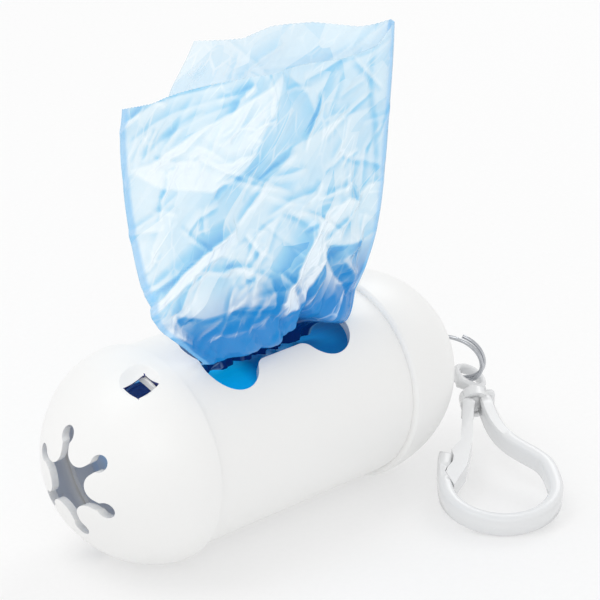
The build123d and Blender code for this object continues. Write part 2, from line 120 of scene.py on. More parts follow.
class Finish:
    """A procedural material, made node by node around one Principled shader."""

    def __init__(self, name, **fixed):
        self.material = bpy.data.materials.new(name)
        self.material.use_nodes = True
        self.tree = self.material.node_tree
        self.shader = self.tree.nodes["Principled BSDF"]
        for socket, value in fixed.items():
            self.shader.inputs[socket.replace("_", " ")].default_value = value

    def node(self, kind, inputs=None, output=0, stops=None, **settings):
        """Add a node, set it up, fill or link its sockets, and give one of its outputs."""
        node = self.tree.nodes.new(kind)
        for name, value in settings.items():
            setattr(node, name, value)
        if stops:
            ramp = node.color_ramp
            while len(ramp.elements) < len(stops):
                ramp.elements.new(1.0)
            for element, (place, colour) in zip(ramp.elements, stops):
                element.position = place
                element.color = (*colour, 1.0)
        for name, value in (inputs or {}).items():
            if isinstance(value, Value):
                self.tree.links.new(value.socket, node.inputs[name])
            else:
                node.inputs[name].default_value = value
        return Value(self, node.outputs[output])

    def drive(self, socket, value):
        self.tree.links.new(value.socket, self.shader.inputs[socket])

    def place(self):
        return self.node("ShaderNodeTexCoord", output="Object")

    def stretched(self, scale):
        """Object coordinates scaled by axis, for grain that runs one way."""
        return self.node("ShaderNodeMapping", {"Vector": self.place(), "Scale": scale})

    def noise(self, scale, detail, rough=0.5, place=None):
        inputs = {"Vector": place or self.place(), "Scale": scale, "Detail": detail, "Roughness": rough}
        return self.node("ShaderNodeTexNoise", inputs)

    def attribute(self, name):
        return self.node("ShaderNodeAttribute", output="Fac", attribute_name=name)

    def ranged(self, value, start, end):
        """A share that is 0 where a value is at start, 1 where it is at end, and held beyond."""
        return self.node("ShaderNodeMapRange", {"Value": value, "From Min": start, "From Max": end})

    def mixed(self, low, high, share):
        """The colour at a share of the way from low to high, each a colour or a socket of one."""
        mix = self.tree.nodes.new("ShaderNodeMix")
        mix.data_type = "RGBA"
        for socket, colour in zip([s for s in mix.inputs if s.type == "RGBA"], (low, high)):
            if isinstance(colour, Value):
                self.tree.links.new(colour.socket, socket)
            else:
                socket.default_value = (*colour, 1.0)
        self.tree.links.new(share.socket, mix.inputs["Factor"])
        return Value(self, [s for s in mix.outputs if s.type == "RGBA"][0])

    def bump(self, height, strength, distance):
        inputs = {"Height": height, "Strength": strength, "Distance": distance}
        self.drive("Normal", self.node("ShaderNodeBump", inputs))


def srgb(red, green, blue):
    """Screen colour values from 0 to 255 as the linear colour that a shader takes."""
    shares = [c / 255 for c in (red, green, blue)]
    return tuple(c / 12.92 if c <= 0.04045 else ((c + 0.055) / 1.055) ** 2.4 for c in shares)


def put(name, data):
    """Stand a new object in the scene around a mesh, a lamp or a camera."""
    placed = bpy.data.objects.new(name, data)
    bpy.context.scene.collection.objects.link(placed)
    return placed


def smooth_copy(node, material, sharp_angle=32.0):
    """Stand a merged, smooth shaded copy of a solid in for its node."""
    source = frame["nodes"][node]
    mesh = source.data.copy()
    grown = bmesh.new()
    grown.from_mesh(mesh)
    bmesh.ops.remove_doubles(grown, verts=grown.verts, dist=1e-7)
    grown.to_mesh(mesh)
    grown.free()
    mesh.polygons.foreach_set("use_smooth", [True] * len(mesh.polygons))
    mesh.set_sharp_from_angle(angle=math.radians(sharp_angle))
    mesh.materials.clear()
    mesh.materials.append(material)
    piece = put(node + "_skin", mesh)
    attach(piece, source["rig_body"])
    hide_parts(node)
    return piece


shell_glow = srgb(66, 66, 67)
# painted shade: the deep blue of the window's walls, which lie in shade
window_shade_blue = srgb(34, 44, 112)


def moulded_white(name, colour, roughness, grain, inside_glow=None):
    """White plastic: sparked grain, slow mottling, faint handling scuffs.

    Given a glow, it also lights the faces marked as inner and paints deep blue shade on those marked as
    window.
    """
    finish = Finish(name, IOR=1.49, Emission_Strength=1.0 if inside_glow else 0.0)
    grain_noise = finish.noise(2600.0, 2.0)
    mottle = finish.noise(60.0, 3.0)
    streaks = finish.noise(1.0, 4.0, 0.6, finish.stretched((90.0, 900.0, 900.0)))
    scuffs = finish.ranged(streaks, 0.62, 0.74)
    finish.drive("Roughness", roughness + 0.06 * (mottle - 0.5) + 0.08 * scuffs)
    worn = tuple(0.965 * c for c in colour)
    surface = finish.mixed(colour, worn, 0.5 * mottle + 0.25 * scuffs)
    if inside_glow:
        glow = finish.mixed((0, 0, 0), inside_glow, finish.attribute("inner"))
        finish.drive("Emission Color", glow)
        # painted shade: the faces marked as window take the deep blue
        surface = finish.mixed(surface, window_shade_blue, finish.attribute("window"))
    finish.drive("Base Color", surface)
    finish.bump(grain_noise + 0.35 * streaks, grain, 0.00006)
    return finish.material


def dome_skin(x, radius, start_x, side, start_radius, height, fullness):
    """A dome's outward normals as (x, radial) beside given points, and how far off those lie."""
    t = np.linspace(0, 1, 4000)[:, None]
    ends = np.array([(0, start_radius), (height * fullness, start_radius),
                     (height, start_radius * fullness), (height, 0)])
    weights = np.hstack([(1 - t) ** 3, 3 * (1 - t) ** 2 * t, 3 * (1 - t) * t ** 2, t ** 3])
    points = weights @ ends
    run = np.hstack([(1 - t) ** 2, 2 * (1 - t) * t, t ** 2]) @ (ends[1:] - ends[:-1])
    turn = np.arctan2(points[:, 0] / height, points[:, 1] / start_radius)
    reach = (x - start_x) * side
    at = np.interp(np.arctan2(reach / height, radius / start_radius), turn, np.arange(len(t)))
    nearest = np.rint(at).astype(int)
    off = np.hypot(points[nearest, 0] - reach, points[nearest, 1] - radius)
    normals = np.stack([-run[nearest, 1] * side, run[nearest, 0]], -1)
    return normals / np.linalg.norm(normals, axis=1)[:, None], off


def mark_faces(mesh, name, marked, per_face):
    """Write 1 on the corners of the marked faces and 0 on the others, for the finish to read."""
    mark = mesh.attributes.new(name, "FLOAT", "CORNER")
    mark.data.foreach_set("value", np.repeat(marked, per_face).astype(np.float32))


def true_turned_normals(piece, wall_radius, domes):
    """Shade the turned faces by their real profile, so that their long facets don't show.

    The inside is marked, because it glows a little with the light that comes through the thin
    wall.  So are the sides of the window on the slot's side, which get a painted deep blue shade.
    """
    mesh = piece.data

    def read(layer, name, width):
        values = np.empty(len(layer) * width, dtype=float if width > 1 else int)
        layer.foreach_get(name, values)
        return values.reshape(-1, width) if width > 1 else values

    corners = read(mesh.corner_normals, "vector", 3)
    vertex = read(mesh.loops, "vertex_index", 1)
    places = read(mesh.vertices, "co", 3) / mm - (0, 0, axis_height)
    per_face = read(mesh.polygons, "loop_total", 1)
    flat = np.repeat(read(mesh.polygons, "normal", 3), per_face, axis=0)
    middle = read(mesh.polygons, "center", 3) / mm - (0, 0, axis_height)

    # inside faces lie nearly a wall's thickness or more under the outer skin, and not on the rims
    inner_depth, inner_radius = 1.3, 19.0
    radius = np.hypot(middle[:, 1], middle[:, 2])
    depth = np.abs(radius - wall_radius) if wall_radius else dome_skin(middle[:, 0], radius, *domes[0])[1]
    mark_faces(mesh, "inner", (depth > inner_depth) & (radius < inner_radius), per_face)

    # the window's walls, which get a painted deep blue shade, stand well above the axis, on the
    # side that the slot leans to
    window_low = 9
    across = middle[:, 1] * math.cos(opening_lean) + middle[:, 2] * math.sin(opening_lean)
    above = middle[:, 2] * math.cos(opening_lean) - middle[:, 1] * math.sin(opening_lean)
    in_window = (np.abs(middle[:, 0] - window_x) < window_length / 2) & (above > window_low)
    mark_faces(mesh, "window", in_window & (np.abs(across) < window_width / 2), per_face)

    # straight walls: a face with hardly any x in its normal that looks from or to the axis
    most_x, least_radial, least_radius = 0.004, 0.97, 10
    at = places[vertex]
    radius = np.hypot(at[:, 1], at[:, 2])
    outward = at[:, 1:] / np.maximum(radius, 1e-6)[:, None]
    radial = np.column_stack([np.zeros(len(at)), outward])
    facing = (flat * radial).sum(1)
    plain = (np.abs(flat[:, 0]) < most_x) & (np.abs(facing) > least_radial) & (radius > least_radius)
    corners[plain] = (radial * np.sign(facing)[:, None])[plain]

    # domes: a corner on the profile whose face looks nearly the way that the profile does
    most_off, least_facing = 0.03, 0.94
    for dome in domes:
        normals, off = dome_skin(at[:, 0], radius, *dome)
        turned = np.column_stack([normals[:, :1], outward * normals[:, 1:]])
        facing = (flat * turned).sum(1)
        on_dome = (off < most_off) & (np.abs(facing) > least_facing)
        corners[on_dome] = (turned * np.sign(facing)[:, None])[on_dome]
    mesh.normals_split_custom_set(corners.tolist())


def dome_pair(side, height, fullness):
    """The outer and the inner profile of a cap's dome, which lie one wall apart."""
    insets = (0.0, shell_wall)
    return [(side * rim_x, side, rim_radius - inset, height - inset, fullness) for inset in insets]


capsule_white = moulded_white("satin white polypropylene", srgb(243, 243, 242), 0.36, 0.35, shell_glow)
shells = (("body_tube", tube_radius, []),
          ("front_cap", 0, dome_pair(-1, 18.4, 0.49)),
          ("rear_cap", 0, dome_pair(1, 22.4, 0.594)))
for node, wall_radius, domes in shells:
    true_turned_normals(smooth_copy(node, capsule_white), wall_radius, domes)

# ---- roll and core ------------------------------------------------------------------------
# Azure film wound tight on a thin board core.  The film's side shows faint lengthwise wrinkles,
# and its ends are darker and show the edges of the layers.

core_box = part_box("roll_core")
roll_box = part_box("bag_roll")
roll_axis = Vector((0, (roll_box[0].y + roll_box[1].y) / 2, (roll_box[0].z + roll_box[1].z) / 2))
roll_radius = (roll_box[1].z - roll_box[0].z) / 2
roll_front, roll_rear = roll_box[0].x, roll_box[1].x
core_gap = 0.02 * mm
core_outer = (core_box[1].z - core_box[0].z) / 2 + core_gap
rounding = 0.5 * mm
wrinkle_depth = 0.05 * mm
end_sink = 0.15 * mm
end_layer = 0.12 * mm
around_steps = 240
side_steps = 40
end_steps = 34


def film_ripple(x, angle):
    """Shallow lengthwise wrinkles of the wound film, always inwards."""
    slow = math.sin(11 * angle + 60 * x) + math.sin(23 * angle - 90 * x + 1.3)
    fine = math.sin(57 * angle + 40 * math.sin(200 * x))
    return -wrinkle_depth * (1 + 0.4 * slow + 0.3 * fine)


def turned_roll(name, profile):
    """Turn (x, radius) points in metres about the roll's axis into a closed, wrinkled mesh."""
    grown = bmesh.new()
    rings = []
    for k in range(around_steps):
        angle = 2 * math.pi * k / around_steps
        ring = []
        for x, radius in profile:
            r = radius + (film_ripple(x, angle) if radius > 0.8 * roll_radius else 0.0)
            place = (x, roll_axis.y + r * math.sin(angle), roll_axis.z + r * math.cos(angle))
            ring.append(grown.verts.new(place))
        rings.append(ring)
    count = len(profile)
    for k in range(around_steps):
        near, far = rings[k], rings[(k + 1) % around_steps]
        for i in range(count):
            j = (i + 1) % count
            grown.faces.new((near[i], far[i], far[j], near[j]))
    bmesh.ops.recalc_face_normals(grown, faces=grown.faces)
    mesh = bpy.data.meshes.new(name)
    grown.to_mesh(mesh)
    grown.free()
    mesh.polygons.foreach_set("use_smooth", [True] * len(mesh.polygons))
    mesh.set_sharp_from_angle(angle=math.radians(40))
    return put(name, mesh)


def layered_end(x, outward):
    """Radial points of one end of the roll, with the layers standing unevenly proud."""
    rows = []
    for k in range(end_steps + 1):
        radius = core_outer + (roll_radius - rounding - core_outer) * k / end_steps
        proud = end_layer * (math.sin(2.7 * k) * math.sin(0.9 * k))
        rows.append((x - outward * end_sink + outward * proud, radius))
    return rows


def wound_side():
    """Points along the side of the roll, between its two rounded edges."""
    length = roll_rear - roll_front - 2 * rounding
    return [(roll_front + rounding + length * k / side_steps, roll_radius) for k in range(side_steps + 1)]


roll_profile = layered_end(roll_front, -1) + wound_side() + layered_end(roll_rear, 1)[::-1]
bag_roll = turned_roll("bag_roll_film", roll_profile)

# the front half of the side gives off some blue, so that the slot's near lobe looks bright
lobe_glow = (0.0, 0.19, 0.34)
wound = Finish("azure wound film", IOR=1.5, Emission_Strength=1.0)
wrinkle = wound.noise(1.0, 4.0, 0.55, wound.stretched((160.0, 900.0, 900.0)))
layers = wound.noise(1.0, 2.0, 0.5, wound.stretched((2600.0, 140.0, 140.0)))
roll_x = wound.node("ShaderNodeSeparateXYZ", {"Vector": wound.place()})
end_face = wound.ranged(roll_x, roll_front + 0.7 * mm, roll_front + 0.4 * mm)
near_lobe = wound.ranged(roll_x, -1.5 * mm, -5.5 * mm)
side_blue = wound.mixed(srgb(0, 150, 238), srgb(20, 178, 246), wrinkle)
wound.drive("Base Color", wound.mixed(side_blue, srgb(6, 72, 160), end_face))
wound.drive("Emission Color", wound.mixed((0, 0, 0), lobe_glow, near_lobe * (1.0 - end_face)))
wound.drive("Roughness", 0.24 + 0.2 * wrinkle)
wound.bump(wrinkle + 0.2 * layers, 0.55, 0.0002)
bag_roll.data.materials.append(wound.material)
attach(bag_roll, "roll")
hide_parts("bag_roll")

board = Finish("tan core board", IOR=1.45)
fibres = board.noise(1.0, 5.0, 0.65, board.stretched((300.0, 1400.0, 1400.0)))
board.drive("Base Color", board.mixed(srgb(146, 124, 98), srgb(178, 156, 126), fibres))
board.drive("Roughness", 0.78 + 0.12 * fibres)
board.bump(fibres, 0.5, 0.00015)
smooth_copy("roll_core", board.material)

# ---- pulled bag -------------------------------------------------------------------------
# The first bag of the roll, drawn out through the slot: very thin blue film folded in two, with
# the fold at the right and both free edges at the left.  It is gathered in the slot, billows
# over the slot's near side, and is covered with sharp creases from having been on the roll.

film_thickness = 0.10
front_columns = 164
rear_columns = 76
film_rows = 196

# share of the way up, height above the capsule's axis, left and right end of the front layer,
# its y, how far it billows towards the slot's near side, and the rear layer's stand-off
film_stations = np.array([
    (0.00, 12.6, -14.8, 13.2, -3.4, 0.0, 0.5),
    (0.05, 14.8, -16.0, 13.8, -3.9, 0.0, 0.6),
    (0.10, 16.8, -17.2, 14.6, -5.2, 1.0, 0.9),
    (0.16, 18.6, -18.8, 16.2, -8.4, 3.4, 1.2),
    (0.23, 22.8, -24.4, 19.4, -9.4, 3.0, 2.2),
    (0.31, 28.4, -30.2, 22.0, -10.2, 1.6, 3.6),
    (0.42, 35.2, -33.4, 24.0, -10.6, 0.5, 5.2),
    (0.57, 45.0, -35.7, 25.8, -10.4, 0.1, 7.2),
    (0.74, 55.4, -37.3, 26.9, -10.0, 0.0, 9.0),
    (0.88, 62.6, -37.6, 27.4, -9.8, 0.0, 10.0),
    (1.00, 68.0, -36.4, 27.7, -9.6, 0.0, 10.6),
])
lip_share, lip_level = film_stations[3, :2]
lip_end_share = 0.34
top_level = film_stations[-1, 1]
# the lip where the film bulges over the slot's near side: its height along x, and how far out
lip_height = np.array([(-24.0, 19.6), (-18.0, 18.2), (-12.0, 18.4), (-3.0, 18.2), (1.9, 20.0), (4.2, 22.4),
                       (6.5, 20.6), (9.0, 19.3), (14.1, 16.9), (17.0, 17.4), (24.0, 18.6)])
lip_bulge = np.array([(-21.0, 0.0), (-16.0, 0.6), (-10.0, 1.0), (-3.0, 1.0), (2.0, 0.8), (4.2, 0.5),
                      (7.0, 0.8), (11.0, 1.0), (15.0, 0.8), (19.0, 0.0)])
# the top edge of each layer along x, and the rear layer's width as a share of the front one's
front_top = np.array([(-36.6, 68.8), (-29.3, 67.8), (-16.0, 68.6), (-8.4, 68.4), (1.3, 67.2), (15.0, 65.8),
                      (23.0, 67.0), (27.7, 70.3)])
rear_top = np.array([(-9.7, 72.4), (-0.3, 71.2), (6.0, 72.2), (13.8, 71.8), (21.6, 70.2), (27.7, 70.6)])
rear_width_share = np.array([(0.0, 0.95), (0.2, 0.86), (0.4, 0.80), (0.7, 0.74), (0.88, 0.665), (1.0, 0.592)])
gathered_share = 0.62
pleat_count = 6.3
tooth_height = 0.12
# the film's depth is 0 from this height above the axis up, and 1 this far below it
pale_level, azure_reach = 40.0, 26.0
# how wide the change between a crease's two slopes is, and how round its ridge is
ridge_width, ridge_rounding = 0.7, 0.25


def smooth_track(shares, values, at):
    """A smooth curve through a few stations, by cubic pieces."""
    slopes = np.gradient(values, shares)
    k = np.clip(np.searchsorted(shares, at) - 1, 0, len(shares) - 2)
    width = shares[k + 1] - shares[k]
    t = (at - shares[k]) / width
    a, b = values[k], values[k + 1]
    return ((1 + 2 * t) * (1 - t) ** 2 * a + t * (1 - t) ** 2 * width * slopes[k]
            + t * t * (3 - 2 * t) * b + t * t * (t - 1) * width * slopes[k + 1])


def to_line(x, z, points):
    """Signed distance to a line through points, and the share of the way along it."""
    best = np.full(x.shape, 1e9)
    signed = np.zeros(x.shape)
    along = np.zeros(x.shape)
    runs = list(zip(points, points[1:]))
    lengths = [math.dist(p, q) for p, q in runs]
    total = sum(lengths)
    start = 0.0
    for (p, q), length in zip(runs, lengths):
        dx, dz = (q[0] - p[0]) / length, (q[1] - p[1]) / length
        t = np.clip((x - p[0]) * dx + (z - p[1]) * dz, 0, length)
        ex, ez = x - p[0] - t * dx, z - p[1] - t * dz
        gap = np.hypot(ex, ez)
        nearer = gap < best
        best = np.where(nearer, gap, best)
        signed = np.where(nearer, np.where(dx * (z - p[1]) - dz * (x - p[0]) < 0, -gap, gap), signed)
        along = np.where(nearer, (start + t) / total, along)
        start += length
    return signed, along


# creases of the front layer: the line in x and height above the axis, how high the ridge
# stands, how far it falls away above and below, and how much each of those slopes is whitened
# as a painted highlight (or, below nought, deepened as painted shade)
creases = (
    (((-35.5, 58.3), (-30.7, 58.0), (-24.0, 59.3), (-18.2, 61.5), (-10.1, 64.4), (0.1, 66.9)),
     0.7, 4.0, 12.0, -0.35, 0.75),
    (((-9.5, 51.3), (-5.0, 59.6), (-2.6, 62.6), (0.1, 66.9)), 0.6, 8.0, 16.0, 0.25, -0.4),
    (((-35.6, 57.8), (-28.6, 53.2), (-17.3, 49.8), (-9.5, 51.3)), 0.7, 8.0, 3.0, 0.6, -0.25),
    (((-11.1, 41.6), (-4.6, 46.3), (2.7, 52.7), (13.8, 54.7), (23.4, 55.5)), -0.9, 7.0, 5.0, -0.4, 0.3),
    (((-36.6, 66.1), (-28.2, 67.6), (-19.3, 67.8), (-11.9, 68.3)), 0.3, 4.0, 3.0, -0.6, 0.2),
    (((-35.5, 59.0), (-32.8, 61.8), (-29.4, 63.6)), 0.3, 1.8, 2.0, -0.35, 0.3),
    (((-32.9, 59.2), (-25.0, 61.7), (-18.2, 63.6), (-12.0, 64.8)), 0.35, 1.6, 2.4, -0.3, 0.3),
    (((-36.1, 62.6), (-30.5, 63.8), (-22.7, 65.1), (-13.6, 66.0)), 0.3, 1.8, 2.4, -0.35, 0.25),
    (((-33.2, 33.1), (-29.9, 35.8), (-26.2, 38.0), (-20.0, 40.3), (-11.1, 41.6)), 1.7, 2.6, 3.6, -1.0, 1.2),
    (((-32.8, 31.5), (-27.0, 34.9), (-21.2, 37.9), (-16.1, 38.1), (-11.8, 35.9)), 0.5, 1.6, 5.0, 0.5, -0.5),
    (((-23.5, 36.7), (-25.2, 32.6), (-26.4, 29.7)), 0.6, 2.4, 2.4, 0.3, -0.6),
    (((-26.4, 29.7), (-20.2, 27.5), (-9.5, 27.2), (-1.8, 25.6)), 0.6, 4.5, 4.0, 0.35, -0.8),
    (((-4.7, 24.0), (-1.8, 28.8), (1.7, 32.2), (4.2, 35.7), (5.7, 40.0)), 2.0, 4.5, 4.0, -1.1, 0.9),
    (((-2.8, 23.6), (2.7, 25.1), (5.7, 28.6), (8.9, 33.5)), 1.3, 3.0, 3.4, 1.0, -1.0),
    (((0.2, 31.1), (2.7, 25.1)), 0.5, 1.6, 1.6, 0.5, -0.3),
    (((3.4, 37.4), (5.2, 38.8), (8.9, 40.1), (14.4, 41.1), (19.3, 38.7)), 1.2, 2.2, 4.0, -0.5, 0.9),
    (((8.9, 33.5), (14.0, 32.5), (19.9, 31.5)), 0.9, 2.6, 3.0, 0.5, -0.9),
    (((8.9, 33.1), (11.5, 27.0), (15.9, 21.0)), -1.2, 3.0, 2.6, -1.0, 0.6),
    (((11.5, 25.1), (18.4, 24.5)), 0.8, 1.6, 2.2, 0.7, -0.7),
    (((12.7, 29.9), (15.8, 26.4), (19.5, 24.6)), 0.6, 1.4, 1.8, 0.6, -0.6),
    (((1.8, 66.2), (6.6, 61.5), (8.6, 56.8)), 0.4, 3.0, 3.0, 0.15, -0.3),
    (((-9.5, 50.8), (-4.3, 48.2), (1.7, 44.9)), -0.4, 4.0, 3.0, -0.45, 0.3),
    (((-28.8, 26.7), (-25.6, 25.4), (-21.9, 22.8)), 0.8, 1.6, 1.8, 0.9, -0.6),
    (((-26.6, 30.8), (-24.6, 27.0), (-21.4, 27.5)), -0.8, 1.6, 1.8, -0.6, 0.8),
    (((23.0, 67.2), (21.8, 64.0), (22.2, 58.0), (23.4, 52.0), (23.6, 46.0), (23.4, 38.0)),
     -0.35, 0.7, 0.8, -0.5, -0.3),
    (((-17.4, 54.3), (-8.5, 54.8)), 0.5, 1.2, 3.5, -0.5, 0.3),
)
# two larger creases of the rear layer, in the same form
rear_creases = (
    (((-3.0, 64.5), (2.0, 67.2), (8.0, 68.8)), 0.6, 2.0, 1.0, -0.6, 0.3),
    (((-6.0, 66.0), (14.0, 64.0), (28.0, 66.0)), -0.7, 1.5, 2.5, 0.2, -0.4),
)
chance = random.Random(41)


def short_creases(count, low, high, left, right):
    """Seeded small creases, most of which lean to the right; more of them lie low down."""
    found = []
    for _ in range(count):
        z = low + (high - low) * chance.random() ** 1.15
        x = left + (right - left) * chance.random()
        lean = chance.gauss(42.0, 22.0) if chance.random() < 0.75 else chance.gauss(-20.0, 25.0)
        length = chance.uniform(3.0, 14.0)
        turn = math.radians(lean)
        dx, dz = length / 2 * math.cos(turn), length / 2 * math.sin(turn)
        bend = chance.uniform(-0.12, 0.12) * length
        points = ((x - dx, z - dz), (x + bend, z - bend), (x + dx, z + dz))
        side = 1 if chance.random() < 0.6 else -1
        height = chance.uniform(0.1, 0.3) * side
        # how strong the painted highlight on one slope and the painted shade on the other are
        sheen_and_shade = chance.uniform(0.2, 0.6) * side
        found.append((points, height, chance.uniform(0.5, 1.5), chance.uniform(0.5, 1.5), -sheen_and_shade, sheen_and_shade))
    return found


def raised(x, z, lines):
    """Height of all the creases at x and z, each a sharp roof that fades at its ends, and painted light and
    shade.
    """
    total = np.zeros(x.shape)
    sheen_and_shade = np.zeros(x.shape)
    for points, height, above, below, sheen_and_shade_above, sheen_and_shade_below in lines:
        signed, along = to_line(x, z, points)
        side = np.clip(0.5 + signed / ridge_width, 0, 1)
        side = side * side * (3 - 2 * side)
        fall = below + (above - below) * side
        share = np.clip(1 - (np.hypot(signed, ridge_rounding) - ridge_rounding) / fall, 0, 1)
        ends = np.sqrt(np.clip(np.minimum(along, 1 - along) * 6, 0, 1))
        total += height * share ** 1.25 * ends
        # the painted highlight and shade of each slope, strongest at the ridge
        sheen_and_shade += (sheen_and_shade_below + (sheen_and_shade_above - sheen_and_shade_below) * side) * share ** 0.8 * ends
    return total, sheen_and_shade


def film_layer(columns, is_rear):
    """Points of one layer, from its free edge to the fold, and what the finish reads."""
    u, v = np.meshgrid(np.linspace(0, 1, columns + 1), np.linspace(0, 1, film_rows + 1))
    shares, *tracks = film_stations.T
    height, left, right, y, billow, stand_off = (smooth_track(shares, track, v) for track in tracks)
    if is_rear:
        share = np.interp(v, rear_width_share[:, 0], rear_width_share[:, 1])
        left = right - (right - left) * share
    x = left + (right - left) * u

    top = rear_top if is_rear else front_top
    rise = np.interp(x, top[:, 0], top[:, 1])
    lift = np.clip((v - 0.55) / 0.45, 0, 1) ** 2
    z = height + (rise - top_level) * lift
    lip = np.interp(x, lip_height[:, 0], lip_height[:, 1]) - lip_level
    lip_fade = (lip_end_share - v) / (lip_end_share - lip_share)
    z = z + lip * np.clip(np.minimum(v / lip_share, lip_fade), 0, 1)
    sag = billow * np.interp(x, lip_bulge[:, 0], lip_bulge[:, 1])

    gather = np.clip(1 - v / gathered_share, 0, 1) ** 1.6
    fan = pleat_count * u + 0.23 * np.sin(9 * u + 1.0) + (0.3 if is_rear else 0.0)
    pleat = np.abs((fan % 1.0) * 2 - 1) - 0.5
    small_pleat = np.abs(((fan * 2.3 + 0.4) % 1.0) * 2 - 1) - 0.5
    wave = gather * (1.5 * pleat + 0.55 * small_pleat)
    slow = 0.9 * np.sin(0.161 * x + 0.09 * z) + 0.6 * np.sin(0.11 * z - 0.203 * x + 2.0)
    wave = wave + slow * np.clip(v * 1.5, 0, 1)

    if is_rear:
        lines = short_creases(70, 22, 72, -20, 30) + list(rear_creases)
    else:
        lines = list(creases) + short_creases(150, 20, 68, -36, 28)
    relief, sheen_and_shade = raised(x, z, lines)
    # the gathered pleats get a painted highlight on one side and painted shade on the other
    sheen_and_shade += 0.5 * gather * np.where((fan % 1.0) < 0.5, 1, -1) * (1 - 2 * np.abs(pleat))
    meet = np.clip((1 - u) * 9, 0, 1)
    if is_rear:
        y = y + 0.5 + (stand_off + 0.6) * (1 - u) ** 0.85 + 0.8 * (wave - relief) * meet
    else:
        y = y - sag - relief * (0.25 + 0.75 * meet) + wave * (0.3 + 0.7 * meet)
    teeth = tooth_height * (np.arange(columns + 1) % 2) * (v > 0.999)
    points = np.stack([x, y, z - teeth + axis_height], -1) * mm
    depth = np.clip((pale_level - z) / azure_reach, 0, 1) + np.clip((lip_share - v) / lip_share, 0, 1)
    return points, sheen_and_shade, depth, u


def film_mesh():
    """Both layers as one thin sheet that turns at the fold, with what the finish reads."""
    front, front_sheen_and_shade, front_depth, front_u = film_layer(front_columns, False)
    rear, rear_sheen_and_shade, rear_depth, rear_u = film_layer(rear_columns, True)
    points = np.concatenate([front, rear[:, ::-1]], 1)
    sheen_and_shade = np.concatenate([front_sheen_and_shade, 0.6 * rear_sheen_and_shade[:, ::-1]], 1)
    depth = np.concatenate([front_depth, rear_depth[:, ::-1]], 1)
    across = np.concatenate([front_u, 2 - rear_u[:, ::-1]], 1)
    rows, columns = points.shape[:2]
    index = np.arange(rows * columns).reshape(rows, columns)
    faces = np.stack([index[:-1, :-1], index[:-1, 1:], index[1:, 1:], index[1:, :-1]], -1)
    mesh = bpy.data.meshes.new("pulled_bag_film")
    mesh.from_pydata(points.reshape(-1, 3).tolist(), [], faces.reshape(-1, 4).tolist())
    for name, values in (("sheen_and_shade", sheen_and_shade), ("depth", depth), ("across", across)):
        layer = mesh.attributes.new(name, "FLOAT", "POINT")
        layer.data.foreach_set("value", values.astype(np.float32).ravel())
    mesh.polygons.foreach_set("use_smooth", [True] * len(mesh.polygons))
    return mesh


def settle(piece):
    """Keep what a piece's modifiers make of it as its mesh, and take them off."""
    bpy.context.view_layer.update()
    graph = bpy.context.evaluated_depsgraph_get()
    mesh = bpy.data.meshes.new_from_object(piece.evaluated_get(graph))
    piece.modifiers.clear()
    piece.data = mesh


pulled_bag = put("pulled_bag_film", film_mesh())
wall = pulled_bag.modifiers.new("wall", "SOLIDIFY")
wall.thickness = film_thickness * mm
wall.offset = 0.0
settle(pulled_bag)

# the first attribute is painted light, which whitens a place as a highlight above nought and
# deepens it as shade below nought, depth goes from 0 at the pale top to 2 inside the slot, and
# across goes from 0 at the front layer's free edge over 1 at the fold to 2 at the rear one's
film = Finish("creased azure film", IOR=1.5, Specular_IOR_Level=0.2, Emission_Strength=0.13,
              Coat_Roughness=0.1)
sheen_and_shade = film.attribute("sheen_and_shade")
depth = film.attribute("depth")
across = film.attribute("across")
cloud = film.noise(48.0, 3.0, 0.55)
facet_lean = (0.0, -math.radians(44), 0.0)
facet_size = (0.012, 0.007, 0.0042)
facet_place = film.node("ShaderNodeMapping", {"Vector": film.place(), "Rotation": facet_lean,
                                              "Scale": facet_size}, vector_type="TEXTURE")


def facets(scale, output="Distance", feature="F1"):
    """Angular patches between the creases, longer along the way that most creases lean."""
    inputs = {"Vector": facet_place, "Scale": scale}
    return film.node("ShaderNodeTexVoronoi", inputs, output, feature=feature)


facet_tone = film.node("ShaderNodeSeparateColor", {"Color": facets(1.0, "Color")}) - 0.5
facet_edge = facets(1.7, feature="DISTANCE_TO_EDGE")
crinkle = film.noise(1.0, 5.0, 0.62, film.stretched((340.0, 340.0, 190.0)))
lined_area = film.ranged(film.noise(130.0, 1.0), 0.48, 0.62)
thin_line = lined_area * film.ranged(facet_edge, 0.07, 0.0)
# mood: the painted highlights and shade of creases and pleats, with tone that differs from patch to patch, a
# slow cloud and thin lines along the patches' edges
mood = 0.85 * sheen_and_shade + 0.46 * facet_tone + 0.2 * (cloud - 0.5) + 0.36 * thin_line
# deeper azure lower down, partly for the film gathered there in many layers, partly as painted shade near the
# slot
deep = film.ranged(depth - 0.10 * mood, 0.34, 0.66)
# the pale blues run from mid blue as painted shade to white as painted highlight as mood rises
pale_blues = [(0.0, srgb(82, 176, 230)), (0.25, srgb(150, 211, 240)), (0.5, srgb(214, 235, 246)),
              (0.72, srgb(234, 245, 250)), (1.0, srgb(254, 254, 255))]
pale = film.node("ShaderNodeValToRGB", {"Fac": 0.5 + 0.5 * mood}, stops=pale_blues)
azure = film.mixed(pale, srgb(0, 126, 200), 0.95 * deep)
# painted shadow: the film inside the slot, under the lip, turns dark navy
slot_shade = film.ranged(depth, 1.0, 1.3)
shadowed = film.mixed(azure, srgb(6, 48, 116), slot_shade)
# painted highlights: where the crease light is strongest, the film glints and is whitened
glint = film.ranged(mood, 0.35, 1.0)
highlighted = film.mixed(shadowed, srgb(225, 243, 253), 0.5 * glint)
edge_hem = film.ranged(across, 0.030, 0.018)
fold_gap = film.node("ShaderNodeMath", {0: across - 1.0}, operation="ABSOLUTE")
fold_hem = film.ranged(fold_gap, 0.02, 0.008)
hem = edge_hem + fold_hem
film_colour = film.mixed(highlighted, srgb(130, 198, 242), 0.6 * hem)
film.drive("Base Color", film_colour)
